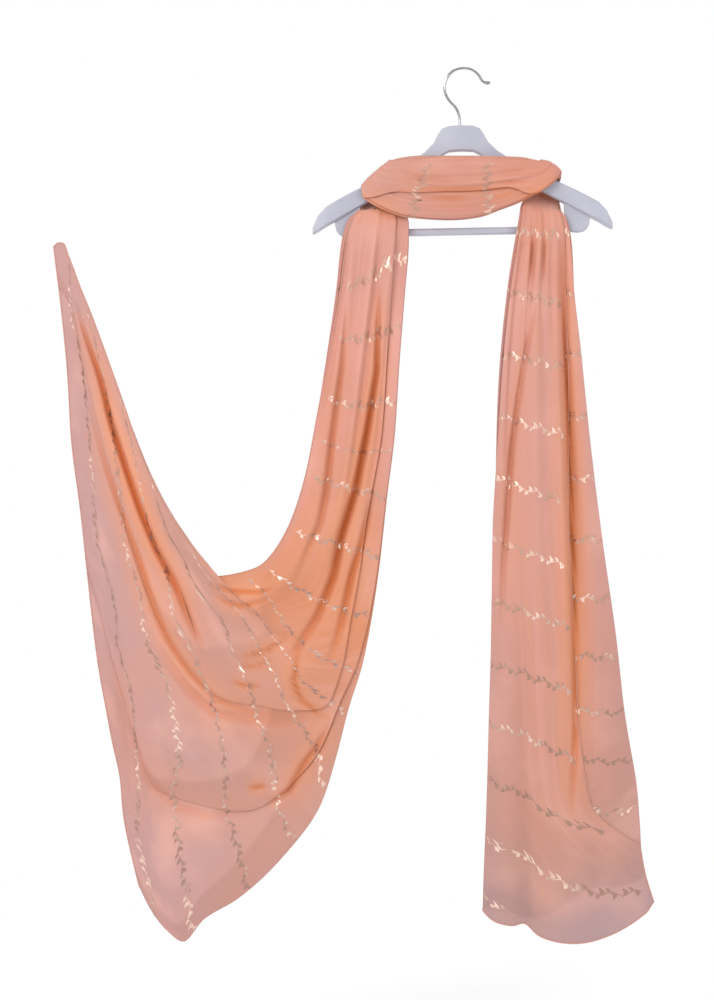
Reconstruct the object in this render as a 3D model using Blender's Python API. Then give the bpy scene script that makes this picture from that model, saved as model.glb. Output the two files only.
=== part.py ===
"""Dupatta stole draped on a clothes hanger.

A 0.98 m wide georgette stole runs from a spread-out end at the left, over both hanger arms and down at the
right. Each stretch of it is one thin wall made from cross-sections: a section lies between its two selvedge
ends and zigzags there in layers, one behind the other, as the gathered cloth does.

Metres in the scene, millimetres in the tables. +Z up, +X to the right of the front, the front faces -Y.
The origin is the inside of the hook's crown, where a rail carries it.
"""

import math

import bmesh
import bpy
import numpy as np

MM = 0.001

# Cloth
WALL = 1.2 * MM
SEAM_GAP = 0.3 * MM
OPEN_FOLD_REACH = 5.0 * MM
FOLD_TURNOVER = 8.0 * MM
LOW_BOW_PEAK = 4 / 27
LEFT_CROWDING = 1.25

# Hanger
HANGER_CENTRE_X = -5.0 * MM
HANGER_TILT = math.radians(-1.1)
NECK_TOP_Z = -77.6 * MM
ARM_BEVEL = 2.5 * MM
WIRE_RADIUS = 1.8 * MM
TIP_RADIUS = 2.7 * MM
SOCKET_RADIUS = 2.3 * MM
SOCKET_DEPTH = 14.0 * MM
BAR_Z = -224.0 * MM
BAR_HALF_HEIGHT = 5.0 * MM
BAR_HALF_DEPTH = 4.5 * MM
BAR_BEVEL = 2.4 * MM
LUG_HALF_DEPTH = 5.5 * MM
LUG_TOP_Z = -187.0 * MM
LUG_BEVEL = 1.5 * MM

# Half of the hanger's moulding: from its centre outwards, top and bottom heights, half of its depth.
HANGER_STATIONS = [
    # out, top, bottom, half_depth
    (0.0, -77.6, -113.4, 6.0),
    (16.6, -78.4, -114.3, 6.0),
    (26.2, -82.2, -119.0, 6.0),
    (31.7, -90.0, -123.8, 6.0),
    (37.3, -101.0, -128.5, 6.0),
    (49.7, -113.2, -137.0, 6.0),
    (64.9, -123.1, -147.0, 6.0),
    (96.6, -139.4, -163.8, 6.3),
    (138.0, -160.4, -186.6, 7.5),
    (154.6, -168.6, -196.0, 9.0),
    (172.5, -178.3, -205.5, 11.0),
    (187.7, -187.3, -213.5, 12.0),
    (199.0, -199.5, -220.5, 11.5),
    (206.5, -215.0, -224.5, 8.5),
]

# The lug under each arm's end that holds the bar, rounded at its outer corner.
LUG_STATIONS = [
    # out, bottom
    (141.0, -226.0),
    (158.0, -228.5),
    (167.0, -227.0),
    (171.5, -223.5),
    (174.5, -218.0),
    (175.8, -210.0),
]

# The hook's wire, from the foot in the neck round to the tip.
HOOK_ROUTE = [
    # x, z
    (-5.0, -90.0),
    (-5.5, -78.0),
    (-6.5, -64.0),
    (-11.5, -52.0),
    (-20.5, -42.0),
    (-25.5, -31.0),
    (-25.5, -20.0),
    (-20.5, -8.5),
    (-12.0, -1.0),
    (0.0, 1.8),
    (12.0, -0.5),
    (20.5, -7.0),
    (26.0, -16.0),
    (31.5, -19.0),
    (37.0, -19.0),
]

# The left end of the stole: sections from the hanger bar to the end hem, each between its selvedges.
LEFT_SECTIONS = [
    # along, upper_x, upper_z, lower_x, lower_z, front_y, bow, pitch, lean
    (0, -159, -212, -75, -212, -28, 0, 3.2, 0),
    (22, -168, -234, -77, -236, -28, 0, 3.2, 0),
    (93, -176, -307, -85, -318, -28, 0, 3.2, 0),
    (187, -188, -392, -94, -409, -27, 0, 3.2, 0),
    (280, -202, -476, -98, -501, -26, 0, 3.2, 0),
    (373, -216, -560, -108, -592, -26, 0, 3.2, 0),
    (466, -243, -641, -117, -682, -28, 0, 3.2, 0),
    (536, -284, -687, -127, -750, -31, 6, 3.2, 0),
    (606, -341, -699, -141, -817, -33, 10, 3.2, 0),
    (676, -379, -648, -162, -882, -32, 12, 3.2, 0),
    (746, -412, -593, -179, -948, -29, 12, 3.0, 0),
    (816, -440, -535, -197, -1013, -25, 14, 2.8, 0),
    (909, -469, -454, -255, -1084, -21, 15, 2.6, 0),
    (1003, -498, -374, -320, -1147, -17, 16, 2.4, 0),
    (1084, -526, -303, -381, -1200, -13, 16, 2.1, 0),
    (1125, -545, -253, -408, -1186, -12, 16, 1.9, 0),
    (1150, -554, -238, -430, -1160, -11, 16, 1.7, 0),
    (1166, -565, -252, -446, -1128, -10, 16, 1.6, 0),
]

# Where each fold of the left end turns, as a share of the section, at each of these distances along it.
LEFT_FOLD_STATIONS = (0, 280, 420, 536, 606, 676, 746, 816, 909, 1003, 1084, 1166)
LEFT_FOLDS = {
    "upper selvedge": (0.10, 0.04, 0.01, 0.00, 0.00, 0.00, 0.00, 0.00, 0.00, 0.00, 0.00, 0.00),
    "cowl edge": (0.80, 0.84, 0.80, 0.84, 0.89, 0.915, 0.80, 0.70, 0.64, 0.50, 0.21, 0.06),
    "behind the cowl": (0.10, 0.08, 0.08, 0.10, 0.32, 0.51, 0.54, 0.53, 0.54, 0.45, 0.19, 0.04),
    "middle edge": (0.94, 0.93, 0.93, 0.94, 0.965, 0.955, 0.94, 0.91, 0.89, 0.83, 0.75, 0.50),
    "behind the middle": (0.05, 0.06, 0.08, 0.12, 0.36, 0.575, 0.69, 0.75, 0.80, 0.785, 0.735, 0.485),
    "low edge": (0.97, 0.96, 0.96, 0.965, 0.975, 0.975, 0.975, 0.975, 0.97, 0.95, 0.90, 0.76),
    "behind the low edge": (0.02, 0.04, 0.06, 0.10, 0.52, 0.715, 0.825, 0.885, 0.92, 0.92, 0.89, 0.745),
    "lower selvedge": (1.00, 1.00, 1.00, 1.00, 1.00, 1.00, 1.00, 1.00, 1.00, 1.00, 1.00, 1.00),
}

# The right end of the stole: sections from the hanger bar down to the end hem.
RIGHT_SECTIONS = [
    # along, left_x, left_z, right_x, right_z, front_y, bow, pitch, lean
    (0, 75, -212, 143.5, -212, -22, 0, 3.2, 0),
    (28, 70, -240, 149, -240, -22, 0, 3.2, 0),
    (93, 62, -305, 152, -305, -23, 0, 3.2, 0),
    (188, 54, -401, 160, -398, -24, 0, 3.2, 0),
    (312, 46, -525, 175, -525, -25, 0, 3.2, 0),
    (437, 40, -650, 189, -650, -26, 0, 3.2, 0),
    (575, 40, -788, 210, -788, -26, 0, 3.2, 0),
    (685, 38, -898, 224, -901, -25, 4, 3.2, 0),
    (795, 35, -1008, 239, -1008, -24, 14, 3.2, 0),
    (892, 30, -1106, 251, -1102, -23, 34, 3.2, 0),
    (941, 30, -1146, 261, -1150, -22, 46, 3.2, 0),
]
RIGHT_FOLD_STATIONS = (0, 190, 437, 690, 941)
RIGHT_FOLDS = {
    "front selvedge": (0.88, 0.84, 0.70, 0.66, 0.64),
    "left edge": (0.06, 0.04, 0.02, 0.00, 0.00),
    "right edge": (0.97, 1.00, 1.00, 1.00, 1.00),
    "left edge behind": (0.00, 0.00, 0.05, 0.07, 0.10),
    "right edge behind": (1.00, 0.97, 0.93, 0.93, 0.95),
    "back selvedge": (0.05, 0.08, 0.20, 0.26, 0.30),
}

# How much higher each of those folds has crept by the end hem, in millimetres, from this distance on.
RIGHT_CREEP_FROM = 400
RIGHT_CREEP = (30, 0, 0, 0, -2, -14)

# The swag in front of the hanger, from the left arm to the right arm. Its lower part leans forward, over
# the cloth that comes out from under the arms.
SWAG_SECTIONS = [
    # along, top_x, top_z, bottom_x, bottom_z, front_y, bow, pitch, lean
    (0, -95, -127, -138, -171, -17.5, 0, 2.0, 0),
    (20, -84, -122, -129, -186, -20, 2, 2.5, -6),
    (45, -68, -121, -112, -196, -22, 2, 3.0, -11),
    (80, -44, -121, -74, -208, -22, 0, 3.2, -13),
    (125, -14, -121, -20, -211, -22, 0, 3.2, -9),
    (160, 20, -121, 19, -207, -22, 0, 3.2, -5),
    (195, 53, -122, 51, -196, -22, 0, 3.2, -3),
    (225, 80, -122, 77, -186, -22, 0, 3.2, -2),
    (246, 95, -124, 92, -178, -22.5, 0, 3.1, 0),
    (260, 103, -127, 105, -171, -22.5, 0, 3.0, 0),
]
SWAG_FOLD_STATIONS = (0, 60, 130, 200, 260)
SWAG_FOLDS = {
    "front selvedge": (0.26, 0.10, 0.03, 0.08, 0.26),
    "front edge": (0.82, 0.58, 0.52, 0.56, 0.82),
    "behind the front": (0.13, 0.08, 0.06, 0.08, 0.13),
    "bottom edge": (0.93, 0.97, 0.98, 0.97, 0.93),
    "top edge behind": (0.04, 0.00, 0.00, 0.00, 0.04),
    "back selvedge": (1.00, 1.00, 1.00, 1.00, 1.00),
}

# The cloth's way over, behind and under each arm: where the section's ends are, how far back its middle
# lies, and the direction from its outer layer to its inner one, in degrees from +Y towards +Z.
LEFT_WRAP_SECTIONS = [
    # along, upper_x, upper_z, lower_x, lower_z, middle_y, inward
    (0, -95, -127, -138, -171, -13.5, 0),
    (8, -97, -125.5, -140, -165, -12.5, -16),
    (16, -98.5, -126.5, -141, -157.5, -7, -58),
    (25, -98, -130.5, -141.5, -157, 0, -90),
    (34, -99, -134, -142, -158.5, 9, -118),
    (44, -99.5, -143, -144, -168, 15, -155),
    (54, -99, -154, -146, -181, 16.5, -180),
    (66, -97, -168, -143, -196, 14.5, -215),
    (80, -93, -180, -141, -205, 5, -250),
    (92, -87, -189, -141, -208, -5, -250),
    (97, -84, -194, -142, -208.5, -10.5, -235),
    (102, -81, -200, -152, -208.5, -13, -215),
    (112, -76, -211.7, -156, -211.7, -18, -180),
]
RIGHT_WRAP_SECTIONS = [
    # along, upper_x, upper_z, lower_x, lower_z, middle_y, inward
    (0, 103, -127, 105, -171, -16.5, 0),
    (8, 104.5, -126, 120, -161, -16, -13),
    (16, 105, -126, 131, -147.5, -12, -50),
    (25, 104, -126.5, 134.5, -142, 0, -90),
    (34, 102, -132, 134.5, -146, 11, -118),
    (44, 98, -145, 132, -159, 17.5, -155),
    (54, 96, -158, 133.5, -172, 18.5, -180),
    (66, 92, -172, 136, -187, 16.5, -215),
    (80, 86, -181, 137.3, -198, 6, -250),
    (92, 80, -190, 137.3, -204.5, -4.5, -250),
    (102, 77, -201, 139.5, -207, -13.5, -215),
    (112, 75, -211.7, 143, -211.7, -17, -180),
]
WRAP_FOLD_STATIONS = (0, 112)
WRAP_FOLDS = {
    "outer selvedge": (0.26, 0.26),
    "outer edge": (0.68, 0.68),
    "second edge": (0.13, 0.13),
    "third edge": (0.85, 0.85),
    "fourth edge": (0.04, 0.04),
    "inner selvedge": (1.00, 1.00),
}
LEFT_WRAP_PITCH = 2.0 * MM
RIGHT_WRAP_PITCH = 3.0 * MM

# Shared relief that every layer of a stretch follows: long soft troughs (positive depth, pushed back) and
# ridges (negative depth, pushed forward). One that ends past the hem is still there at the hem.
LEFT_CREASES = [
    # start_along, start_across, end_along, end_across, half_width, depth
    (-60, 0.30, 620, 0.34, 0.065, 6.0),
    (-60, 0.52, 520, 0.46, 0.060, -5.0),
    (-60, 0.85, 600, 0.82, 0.065, 5.0),
    (400, 0.26, 1130, 0.20, 0.160, -24.0),
    (560, 0.60, 1120, 0.34, 0.060, 7.0),
    (600, 0.78, 1120, 0.50, 0.080, -11.0),
    (640, 0.95, 1180, 0.72, 0.090, 9.0),
    (760, 0.03, 1260, 0.30, 0.070, 8.0),
    (860, 0.70, 1400, 0.80, 0.100, -9.0),
]
RIGHT_CREASES = [
    (-60, 0.22, 520, 0.14, 0.070, 7.0),
    (-60, 0.45, 760, 0.40, 0.090, -8.0),
    (-60, 0.80, 1000, 0.70, 0.070, 9.0),
    (340, 0.16, 1500, 0.12, 0.120, -9.0),
    (420, 0.94, 1500, 0.88, 0.110, -10.0),
    (560, 0.30, 1500, 0.34, 0.090, 8.0),
]
SWAG_CREASES = [
    (20, 0.26, 240, 0.34, 0.070, 3.0),
    (40, 0.75, 230, 0.74, 0.080, 3.0),
    (30, 0.42, 230, 0.44, 0.060, -3.0),
]

COLOURS = {
    "georgette": (0.82, 0.40, 0.27, 1.0),
    "moulding": (0.62, 0.61, 0.70, 1.0),
    "wire": (0.55, 0.55, 0.57, 1.0),
}


def clear_scene():
    for obj in list(bpy.data.objects):
        bpy.data.objects.remove(obj, do_unlink=True)


def material(name, colour, roughness, metallic):
    """A Principled BSDF material for one sub-part."""
    made = bpy.data.materials.new(name)
    made.use_nodes = True
    shader = made.node_tree.nodes["Principled BSDF"]
    shader.inputs["Base Color"].default_value = colour
    shader.inputs["Roughness"].default_value = roughness
    shader.inputs["Metallic"].default_value = metallic
    return made


def object_from(name, points, faces, finish, sharp_over=40):
    """A mesh object from points and faces, smooth but for its edges, with its faces turned outwards."""
    mesh = bpy.data.meshes.new(name)
    mesh.from_pydata([tuple(point) for point in points], [], faces)
    shape = bmesh.new()
    shape.from_mesh(mesh)
    bmesh.ops.recalc_face_normals(shape, faces=shape.faces)
    if shape.calc_volume(signed=True) < 0:
        bmesh.ops.reverse_faces(shape, faces=shape.faces)
    shape.to_mesh(mesh)
    shape.free()
    mesh.shade_smooth()
    mesh.set_sharp_from_angle(angle=math.radians(sharp_over))
    mesh.materials.append(finish)
    obj = bpy.data.objects.new(name, mesh)
    bpy.context.scene.collection.objects.link(obj)
    return obj


def smooth_between(stations, values, place):
    """The values at each place, on smooth curves through the stations."""
    stations = np.asarray(stations, float)
    values = np.asarray(values, float)
    slopes = np.gradient(values, stations, axis=0)
    place = np.clip(place, stations[0], stations[-1])
    left = np.clip(np.searchsorted(stations, place, side="right") - 1, 0, len(stations) - 2)
    span = stations[left + 1] - stations[left]
    part = (place - stations[left]) / span
    if values.ndim > 1:
        part = part[:, None]
        span = span[:, None]
    start_share = 2 * part**3 - 3 * part**2 + 1
    start_slope = part**3 - 2 * part**2 + part
    end_slope = part**3 - part**2
    return (
        start_share * values[left]
        + (1 - start_share) * values[left + 1]
        + span * (start_slope * slopes[left] + end_slope * slopes[left + 1])
    )


def zigzag(turns, chord, pitch, across_steps):
    """One section of layered cloth: how far across (0 to 1) and how deep (metres) each of its points lies."""
    across = [turns[0]]
    depth = [0.0]
    for layer in range(len(turns) - 1):
        start = across[-1]
        end = turns[layer + 1]
        heading = 1.0 if end > turns[layer] else -1.0
        last = layer == len(turns) - 2
        if last:
            reach = 0.0
            opened = 0.0
        else:
            ahead = (turns[layer + 2] - end) * heading * chord
            opened = 0.5 + 0.5 * math.tanh(ahead / FOLD_TURNOVER)
            reach = (pitch / 2 * (1 - opened) + OPEN_FOLD_REACH * opened) / chord
        stop = end - heading * reach
        for step in range(1, across_steps + 1):
            across.append(start + (stop - start) * step / (across_steps + (1 if last else 0)))
            depth.append(layer * pitch)
        if last:
            across.append(end)
            depth.append(layer * pitch)
            continue
        across += [end, end, end + heading * reach * (2 * opened - 1)]
        depth += [(layer + 0.15) * pitch, (layer + 0.85) * pitch, (layer + 1) * pitch]
    across = np.array(across)
    depth = np.array(depth)
    for values in (across, depth):
        values[1:-1] = (values[:-2] + 4 * values[1:-1] + values[2:]) / 6
    return across, depth


def relief(creases, along, across):
    """How far back the creases push the cloth at one section's points."""
    pushed = np.zeros_like(across)
    for start, start_across, end, end_across, half_width, amount in creases:
        if not start < along < end:
            continue
        part = (along - start) / (end - start)
        centre = start_across + (end_across - start_across) * part
        fade = math.sin(math.pi * part) ** 0.5
        pushed += amount * MM * fade * np.exp(-(((across - centre) / half_width) ** 2))
    return pushed


def even_bow(across):
    """The share of a section's bow at each point, most in its middle."""
    return 4 * across * (1 - across)


def low_bow(across):
    """The share of a section's bow at each point, most two thirds of the way to its lower end."""
    return across**2 * (1 - across) / LOW_BOW_PEAK


def section_turns(folds, stations, places):
    """For each section, where its folds turn."""
    return smooth_between(stations, np.array(list(folds.values())).T, places)


def crept(lifts, places, across_steps):
    """How much higher each point of each section has crept, from the lift of each fold."""
    folds = len(lifts) - 2
    turn_at = [0] + [(across_steps + 3) * fold + across_steps + 2 for fold in range(folds)]
    last = (across_steps + 3) * folds + across_steps + 1
    lift = np.interp(np.arange(last + 1), turn_at + [last], lifts) * MM
    part = np.clip((places - RIGHT_CREEP_FROM) / (places[-1] - RIGHT_CREEP_FROM), 0, 1)
    return (part**2)[:, None] * lift[None, :]


def hanging_grid(
    sections, folds, fold_stations, creases, rows, across_steps, lifts=None, bow_shape=even_bow, crowding=1.0
):
    """Points of a stretch whose layers lie one behind the other, front to back.

    Crowding over 1 sets the rows closer together towards the last section.
    """
    table = np.array(sections, float)
    places = table[-1, 0] * (1 - np.linspace(1, 0, rows) ** crowding)
    spread = smooth_between(table[:, 0], table[:, 1:], places)
    turns = section_turns(folds, fold_stations, places)
    grid = []
    for place, row, turn in zip(places, spread, turns):
        start = np.array([row[0], row[1]]) * MM
        end = np.array([row[2], row[3]]) * MM
        chord = np.linalg.norm(end - start)
        side = np.array([-(end - start)[1], (end - start)[0]]) / chord
        across, depth = zigzag(turn, chord, row[6] * MM, across_steps)
        bowed = -row[5] * MM * bow_shape(across)
        flat = start + across[:, None] * (end - start) + bowed[:, None] * side
        back = (row[4] + row[7] * across) * MM + depth + relief(creases, place, across)
        grid.append(np.column_stack([flat[:, 0], back, flat[:, 1]]))
    grid = np.array(grid)
    if lifts:
        grid[:, :, 2] += crept(lifts, places, across_steps)
    return grid


def wrapped_grid(sections, folds, fold_stations, rows, across_steps, pitch):
    """Points of a stretch that goes round an arm, its outer layer away from the arm."""
    table = np.array(sections, float)
    places = np.linspace(table[0, 0], table[-1, 0], rows)
    spread = smooth_between(table[:, 0], table[:, 1:], places)
    turns = section_turns(folds, fold_stations, places)
    layers = len(folds) - 2
    grid = []
    for row, turn in zip(spread, turns):
        start = np.array([row[0], row[4], row[1]]) * MM
        end = np.array([row[2], row[4], row[3]]) * MM
        inward = np.array([0.0, math.cos(math.radians(row[5])), math.sin(math.radians(row[5]))])
        across, depth = zigzag(turn, np.linalg.norm(end - start), pitch, across_steps)
        depth = depth - layers * pitch / 2
        grid.append(start + across[:, None] * (end - start) + depth[:, None] * inward)
    return np.array(grid)


def trimmed(grid, first=0.0, last=0.0):
    """The grid with its first and last sections drawn in along the cloth, to leave the seams' gaps."""
    for index, inner, amount in ((0, 1, first), (-1, -2, last)):
        if amount:
            run = grid[inner] - grid[index]
            grid[index] += run * amount / np.linalg.norm(run, axis=1, keepdims=True)
    return grid


def wall(name, grid, finish, thickness=WALL):
    """A closed wall of even thickness on a grid of points."""
    rows, columns = grid.shape[:2]
    along = np.gradient(grid, axis=0)
    across = np.gradient(grid, axis=1)
    normal = np.cross(along, across)
    for row in (0, -1):
        plane = np.linalg.svd(grid[row] - grid[row].mean(axis=0))[2][2]
        normal[row] -= (normal[row] @ plane)[:, None] * plane
    normal /= np.linalg.norm(normal, axis=2, keepdims=True)
    points = np.concatenate([
        (grid - normal * thickness / 2).reshape(-1, 3),
        (grid + normal * thickness / 2).reshape(-1, 3),
    ])
    offset = rows * columns
    faces = []
    for i in range(rows - 1):
        for j in range(columns - 1):
            a = i * columns + j
            b = a + columns
            faces.append((a, b, b + 1, a + 1))
            faces.append((offset + a, offset + a + 1, offset + b + 1, offset + b))
    rim = [j for j in range(columns)]
    rim += [i * columns + columns - 1 for i in range(1, rows)]
    rim += [(rows - 1) * columns + j for j in range(columns - 2, -1, -1)]
    rim += [i * columns for i in range(rows - 2, 0, -1)]
    for a, b in zip(rim, rim[1:] + rim[:1]):
        faces.append((a, b, offset + b, offset + a))
    return object_from(name, points, faces, finish)


def lofted(name, rings, finish, sharp_over=40):
    """A closed solid through rings of points, capped at both ends."""
    count = len(rings[0])
    points = [point for ring in rings for point in ring]
    faces = [tuple(range(count)), tuple(range(len(points) - count, len(points)))]
    for ring in range(len(rings) - 1):
        for side in range(count):
            a = ring * count + side
            b = ring * count + (side + 1) % count
            faces.append((a, b, b + count, a + count))
    return object_from(name, points, faces, finish, sharp_over)


def bevelled_ring(x, top, bottom, half_depth, bevel):
    """An upright ring across X with its four corners cut."""
    bevel = min(bevel, (top - bottom) * 0.3, half_depth * 0.6)
    return [
        (x, -half_depth + bevel, top),
        (x, half_depth - bevel, top),
        (x, half_depth, top - bevel),
        (x, half_depth, bottom + bevel),
        (x, half_depth - bevel, bottom),
        (x, -half_depth + bevel, bottom),
        (x, -half_depth, bottom + bevel),
        (x, -half_depth, top - bevel),
    ]


def tube(name, route, radii, sides, finish):
    """A round wire along a route in the XZ plane."""
    rings = []
    for index, centre in enumerate(route):
        before = route[max(index - 1, 0)]
        after = route[min(index + 1, len(route) - 1)]
        run = after - before
        run = run / np.linalg.norm(run)
        side = np.array([run[2], 0.0, -run[0]])
        depth = np.array([0.0, 1.0, 0.0])
        turn = [2 * math.pi * step / sides for step in range(sides)]
        rings.append([
            centre + radii[index] * (math.cos(angle) * side + math.sin(angle) * depth) for angle in turn
        ])
    return lofted(name, rings, finish, 60)


def join_boolean(body, other, operation):
    """Applies a Boolean to the body and removes the other object."""
    modifier = body.modifiers.new(operation.title(), "BOOLEAN")
    modifier.operation = operation
    modifier.solver = "EXACT"
    modifier.object = other
    bpy.context.view_layer.update()
    made = bpy.data.meshes.new_from_object(body.evaluated_get(bpy.context.evaluated_depsgraph_get()))
    body.modifiers.clear()
    body.data = made
    bpy.data.objects.remove(other, do_unlink=True)


def tilted(obj):
    """Turns a piece of the hanger about the rail by the hanger's small tilt."""
    obj.rotation_euler = (0.0, HANGER_TILT, 0.0)


def make_hanger_body(finish):
    outer = [station for station in reversed(HANGER_STATIONS)]
    stations = [(-out, *rest) for out, *rest in outer] + HANGER_STATIONS[1:]
    rings = [
        bevelled_ring(HANGER_CENTRE_X + out * MM, top * MM, bottom * MM, half_depth * MM, ARM_BEVEL)
        for out, top, bottom, half_depth in stations
    ]
    body = lofted("hanger_body", rings, finish, 30)
    for hand in (-1, 1):
        lug_rings = [
            bevelled_ring(
                HANGER_CENTRE_X + hand * out * MM, LUG_TOP_Z, bottom * MM, LUG_HALF_DEPTH, LUG_BEVEL
            )
            for out, bottom in LUG_STATIONS
        ]
        join_boolean(body, lofted("lug", lug_rings, finish), "UNION")
    foot = np.array([
        (HANGER_CENTRE_X, 0.0, NECK_TOP_Z - SOCKET_DEPTH),
        (HANGER_CENTRE_X, 0.0, NECK_TOP_Z + SOCKET_DEPTH),
    ])
    join_boolean(body, tube("socket", foot, [SOCKET_RADIUS] * 2, 12, finish), "DIFFERENCE")
    body.data.shade_smooth()
    body.data.set_sharp_from_angle(angle=math.radians(30))
    tilted(body)


def make_hanger_bar(finish):
    inner = LUG_STATIONS[0][0] * MM - SEAM_GAP
    rings = [
        bevelled_ring(
            HANGER_CENTRE_X + x, BAR_Z + BAR_HALF_HEIGHT, BAR_Z - BAR_HALF_HEIGHT, BAR_HALF_DEPTH, BAR_BEVEL
        )
        for x in (-inner, inner)
    ]
    tilted(lofted("hanger_bar", rings, finish))


def make_hook(finish):
    route = np.array(HOOK_ROUTE) * MM
    steps = np.linspace(0, len(route) - 1, 36)
    smooth = smooth_between(np.arange(len(route)), route, steps)
    route = np.column_stack([smooth[:, 0], np.zeros(len(smooth)), smooth[:, 1]])
    radii = [WIRE_RADIUS] * (len(route) - 5) + [WIRE_RADIUS, 2.3 * MM, TIP_RADIUS, TIP_RADIUS, 1.6 * MM]
    tilted(tube("hook_wire", route, radii, 8, finish))


def make_cloth(finish):
    left = hanging_grid(
        LEFT_SECTIONS,
        LEFT_FOLDS,
        LEFT_FOLD_STATIONS,
        LEFT_CREASES,
        30,
        5,
        bow_shape=low_bow,
        crowding=LEFT_CROWDING,
    )
    wall("stole_left_end", left, finish)
    right = hanging_grid(
        RIGHT_SECTIONS, RIGHT_FOLDS, RIGHT_FOLD_STATIONS, RIGHT_CREASES, 20, 6, RIGHT_CREEP
    )
    wall("stole_right_end", right, finish)
    swag = hanging_grid(SWAG_SECTIONS, SWAG_FOLDS, SWAG_FOLD_STATIONS, SWAG_CREASES, 14, 4)
    wall("stole_swag", swag, finish)
    for name, sections, pitch in (
        ("left", LEFT_WRAP_SECTIONS, LEFT_WRAP_PITCH),
        ("right", RIGHT_WRAP_SECTIONS, RIGHT_WRAP_PITCH),
    ):
        grid = wrapped_grid(sections, WRAP_FOLDS, WRAP_FOLD_STATIONS, 16, 2, pitch)
        wall(f"stole_{name}_wrap", trimmed(grid, SEAM_GAP), finish)


def main():
    clear_scene()
    georgette = material("georgette", COLOURS["georgette"], 0.8, 0.0)
    moulding = material("moulding", COLOURS["moulding"], 0.45, 0.0)
    wire = material("wire", COLOURS["wire"], 0.25, 1.0)
    make_hanger_body(moulding)
    make_hanger_bar(moulding)
    make_hook(wire)
    make_cloth(georgette)


main()
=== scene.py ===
"""The dupatta stole on its hanger, dressed for the render: one continuous georgette sheet with its rolled hem
and foil vines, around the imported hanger.

Metres in the scene, millimetres in the tables. +Z up, the front faces -Y, the origin is inside the hook's
crown. "u" runs along the whole stole from the left end's hem, "v" across it from one selvedge.
"""

import math

import bpy
import numpy as np
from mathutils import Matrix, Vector
from mathutils.bvhtree import BVHTree


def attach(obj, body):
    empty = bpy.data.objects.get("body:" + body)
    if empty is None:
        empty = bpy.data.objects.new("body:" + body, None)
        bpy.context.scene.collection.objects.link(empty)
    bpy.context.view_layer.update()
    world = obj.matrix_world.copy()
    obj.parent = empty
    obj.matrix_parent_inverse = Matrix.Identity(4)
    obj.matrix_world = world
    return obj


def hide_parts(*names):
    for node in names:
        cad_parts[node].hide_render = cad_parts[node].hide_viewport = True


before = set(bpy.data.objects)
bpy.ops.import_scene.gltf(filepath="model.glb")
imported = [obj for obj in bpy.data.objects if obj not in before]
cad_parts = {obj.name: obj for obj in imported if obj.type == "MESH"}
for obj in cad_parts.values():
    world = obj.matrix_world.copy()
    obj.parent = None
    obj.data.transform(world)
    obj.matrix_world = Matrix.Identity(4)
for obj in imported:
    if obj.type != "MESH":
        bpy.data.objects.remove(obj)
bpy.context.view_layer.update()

MM = 0.001

# The camera stands straight in front, so its frame is as high as this at the stole.
FRAME_CENTRE = (-0.1463, -0.5944)
FRAME_HEIGHT = 1.38
CAMERA_DISTANCE = 3.6
SENSOR_HEIGHT = 24.0
LIGHTS = [
    # name, x, y, z, size, watts
    ("key", -1.6, -2.6, 0.9, 1.4, 44),
    ("fill", 1.8, -2.4, 0.2, 1.6, 9),
    ("back", 0.4, 2.6, 1.2, 1.8, 16),
]
LIGHTS_AIM = (-0.15, 0.0, -0.6)
FLOOR_RADIUS = 1.7
FLOOR_HEIGHT = -1.42
FLOOR_SIDES = 64

# The cut of the cloth.
LEFT_LENGTH = 1166
WRAP_LENGTH = 112
SWAG_LENGTH = 260
RIGHT_LENGTH = 941
WHOLE_LENGTH = LEFT_LENGTH + 2 * WRAP_LENGTH + SWAG_LENGTH + RIGHT_LENGTH
CLOTH_WIDTH = 980
SWAG_START = LEFT_LENGTH + WRAP_LENGTH
SWAG_END = SWAG_START + SWAG_LENGTH
RIGHT_START = SWAG_END + WRAP_LENGTH

# The tallest that a section's bow shape gets before it is scaled: the even one and the one low down.
EVEN_BOW_PEAK = 1 / 4
LOW_BOW_PEAK = 4 / 27

# Each section zigzags in this many layers, with so many steps each. A fold's corners lie this share of the
# pitch from its layers. An open fold reaches back this far, and one turns over within this width.
LAYERS = 7
LAYER_STEPS = (32, 13, 27, 14, 18, 12, 12)
FOLD_CORNER = 0.15
OPEN_FOLD_REACH = 5.0
FOLD_TURNOVER = 8.0

# The mesh's rows along the stole, closer together round the arms.
ROW_STRETCHES = [
    # start, end, rows
    (0, LEFT_LENGTH, 150),
    (LEFT_LENGTH, SWAG_START, 30),
    (SWAG_START, SWAG_END, 42),
    (SWAG_END, RIGHT_START, 30),
    (RIGHT_START, WHOLE_LENGTH, 88),
]

# The rolled hem round the cloth.
HEM_RADIUS = 0.8
HEM_SIDES = 5

# The foil vines: lines of small leaves across the cloth, from selvedge to selvedge.
VINE_COUNT = 31
VINE_FIRST = 39
VINE_INSET = 12
VINE_REPEAT = 28
STEM_SWAY = 2.5
STEM_WIDTH = 0.9
STEM_STEP = 3.5
FOIL_LIFT = 0.25
VINE_LEAVES = [
    # share of the repeat, side, length, width, angle from the vine's line
    (0.10, 1, 9.0, 4.4, 48),
    (0.34, -1, 7.0, 3.8, 40),
    (0.60, -1, 9.0, 4.4, 48),
    (0.84, 1, 7.0, 3.8, 40),
    (0.25, 1, 4.2, 3.2, 80),
    (0.75, -1, 4.2, 3.2, 80),
]
LEAF_OUTLINE = ((0.0, 0.0), (0.3, 0.5), (0.65, 0.42), (1.0, 0.0), (0.65, -0.42), (0.3, -0.5))

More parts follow.
